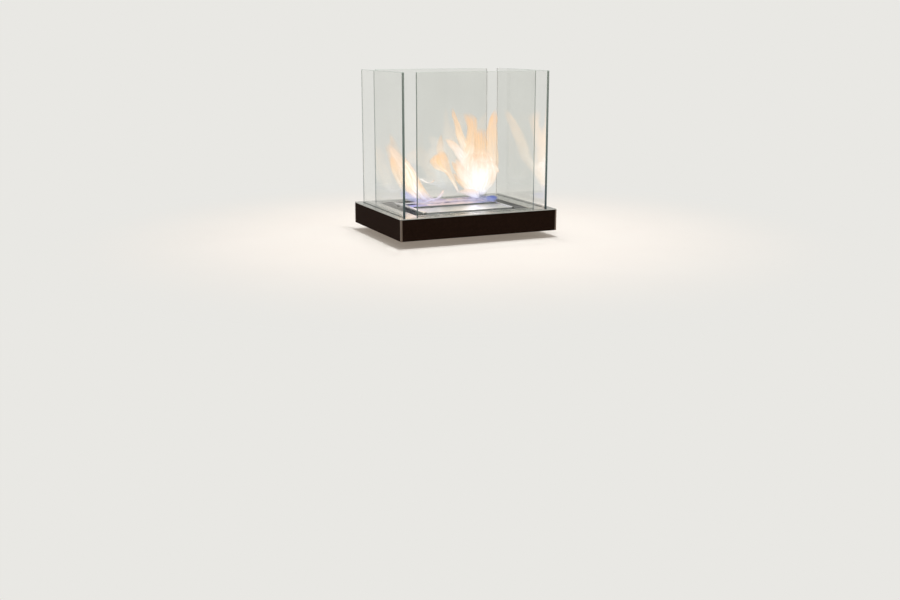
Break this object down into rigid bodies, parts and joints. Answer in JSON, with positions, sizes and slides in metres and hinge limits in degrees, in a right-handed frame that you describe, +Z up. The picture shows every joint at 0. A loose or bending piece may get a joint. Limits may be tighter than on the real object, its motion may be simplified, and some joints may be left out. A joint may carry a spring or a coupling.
{
  "type": "bioethanol tabletop fireplace",
  "caption": "Free-standing tabletop ethanol fireplace: floating black tray with a stainless deck, clear glass panes on every side, and a lift-out burner with a sliding snuffer plate.",
  "frame": {"origin": "centre of the footprint, on the surface that the feet stand on", "axes": "+X along the length to the right, +Y from the front to the rear, +Z up"},
  "size_m": [0.35, 0.27, 0.342],
  "materials": {
    "brushed_stainless": "1.4301 stainless, brushed along its length, satin",
    "burner_stainless": "stainless sheet, bright rolled with light brush marks",
    "black_powder_coat": "fine-textured black-brown powder coat, satin",
    "zinc_plated_steel": "bright zinc plate",
    "foot_rubber": "matte moulded rubber",
    "gasket_silicone": "satin extruded silicone",
    "ceramic_wool": "matte felted mineral fibre",
    "toughened_glass": "clear toughened float glass with green ground edges",
    "flame": "burning ethanol vapour, soft and see-through; it is drawn in the visual model only"
  },
  "bodies": {
    "tray": {"deck_plate": "brushed_stainless", "corner_post_front_left": "brushed_stainless", "corner_post_front_right": "brushed_stainless", "corner_post_rear_right": "brushed_stainless", "corner_post_rear_left": "brushed_stainless", "burner_well": "burner_stainless", "tank_stop_front_left": "burner_stainless", "tank_stop_front_right": "burner_stainless", "tank_stop_rear_right": "burner_stainless", "tank_stop_rear_left": "burner_stainless", "glass_channel_front": "burner_stainless", "glass_channel_rear": "burner_stainless", "glass_channel_left": "burner_stainless", "glass_channel_right": "burner_stainless", "chassis_pan": "black_powder_coat", "fascia_front": "black_powder_coat", "fascia_rear": "black_powder_coat", "fascia_left": "black_powder_coat", "fascia_right": "black_powder_coat", "fascia_nut_front_1": "zinc_plated_steel", "fascia_nut_front_2": "zinc_plated_steel", "fascia_nut_rear_1": "zinc_plated_steel", "fascia_nut_rear_2": "zinc_plated_steel", "fascia_nut_left_1": "zinc_plated_steel", "fascia_nut_left_2": "zinc_plated_steel", "fascia_nut_right_1": "zinc_plated_steel", "fascia_nut_right_2": "zinc_plated_steel", "foot_screw_front_left": "zinc_plated_steel", "foot_screw_front_right": "zinc_plated_steel", "foot_screw_rear_right": "zinc_plated_steel", "foot_screw_rear_left": "zinc_plated_steel", "foot_nut_front_left": "zinc_plated_steel", "foot_nut_front_right": "zinc_plated_steel", "foot_nut_rear_right": "zinc_plated_steel", "foot_nut_rear_left": "zinc_plated_steel", "post_screw_front_left": "zinc_plated_steel", "post_screw_front_right": "zinc_plated_steel", "post_screw_rear_right": "zinc_plated_steel", "post_screw_rear_left": "zinc_plated_steel", "rubber_foot_front_left": "foot_rubber", "rubber_foot_front_right": "foot_rubber", "rubber_foot_rear_right": "foot_rubber", "rubber_foot_rear_left": "foot_rubber", "pane_gasket_front": "gasket_silicone", "pane_gasket_rear": "gasket_silicone", "pane_gasket_left": "gasket_silicone", "pane_gasket_right": "gasket_silicone"},
    "burner": {"fuel_tank": "burner_stainless", "wick_pad": "ceramic_wool", "wick_screen": "burner_stainless", "burner_top": "burner_stainless"},
    "slider": {"snuffer_slider": "burner_stainless"},
    "pane_front": {"glass_pane_front": "toughened_glass"},
    "pane_rear": {"glass_pane_rear": "toughened_glass"},
    "pane_left": {"glass_pane_left": "toughened_glass"},
    "pane_right": {"glass_pane_right": "toughened_glass"}
  },
  "joints": [
    {"name": "burner_lift", "type": "slide", "parent": "tray", "child": "burner", "axis": [0, 0, 1], "range_m": [0, 0.32]},
    {"name": "snuffer_slide", "type": "slide", "parent": "burner", "child": "slider", "axis": [0, 1, 0], "range_m": [0, 0.07]},
    {"name": "pane_front_lift", "type": "slide", "parent": "tray", "child": "pane_front", "axis": [0, 0, 1], "range_m": [0, 0.03]},
    {"name": "pane_rear_lift", "type": "slide", "parent": "tray", "child": "pane_rear", "axis": [0, 0, 1], "range_m": [0, 0.03]},
    {"name": "pane_left_lift", "type": "slide", "parent": "tray", "child": "pane_left", "axis": [0, 0, 1], "range_m": [0, 0.03]},
    {"name": "pane_right_lift", "type": "slide", "parent": "tray", "child": "pane_right", "axis": [0, 0, 1], "range_m": [0, 0.03]}
  ]
}
